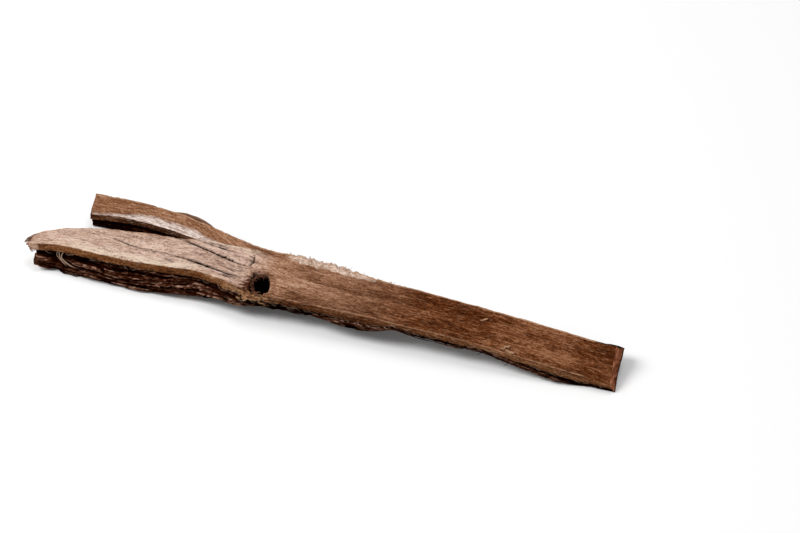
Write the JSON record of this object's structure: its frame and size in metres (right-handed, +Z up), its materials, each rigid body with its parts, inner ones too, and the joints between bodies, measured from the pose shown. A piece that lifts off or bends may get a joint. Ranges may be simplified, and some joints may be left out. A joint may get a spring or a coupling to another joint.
{
  "type": "strip of dried tree bark",
  "caption": "Forked strip of dried Indian almond bark with torn and sawn ends, drying cracks and a knot pit, for an aquarium or a natural display.",
  "frame": {"origin": "bottom centre of the strip's box, on the surface it rests on", "axes": "+X along the strip towards its sawn right end, +Y towards the long edge away from the shaggy side, +Z up, out of the smooth inner side"},
  "size_m": [0.2044, 0.037, 0.0135],
  "materials": {
    "bark": "dry, rough and matte, with fine fibres along the strip"
  },
  "bodies": {
    "root": {"bark_strip": "bark"}
  },
  "joints": []
}
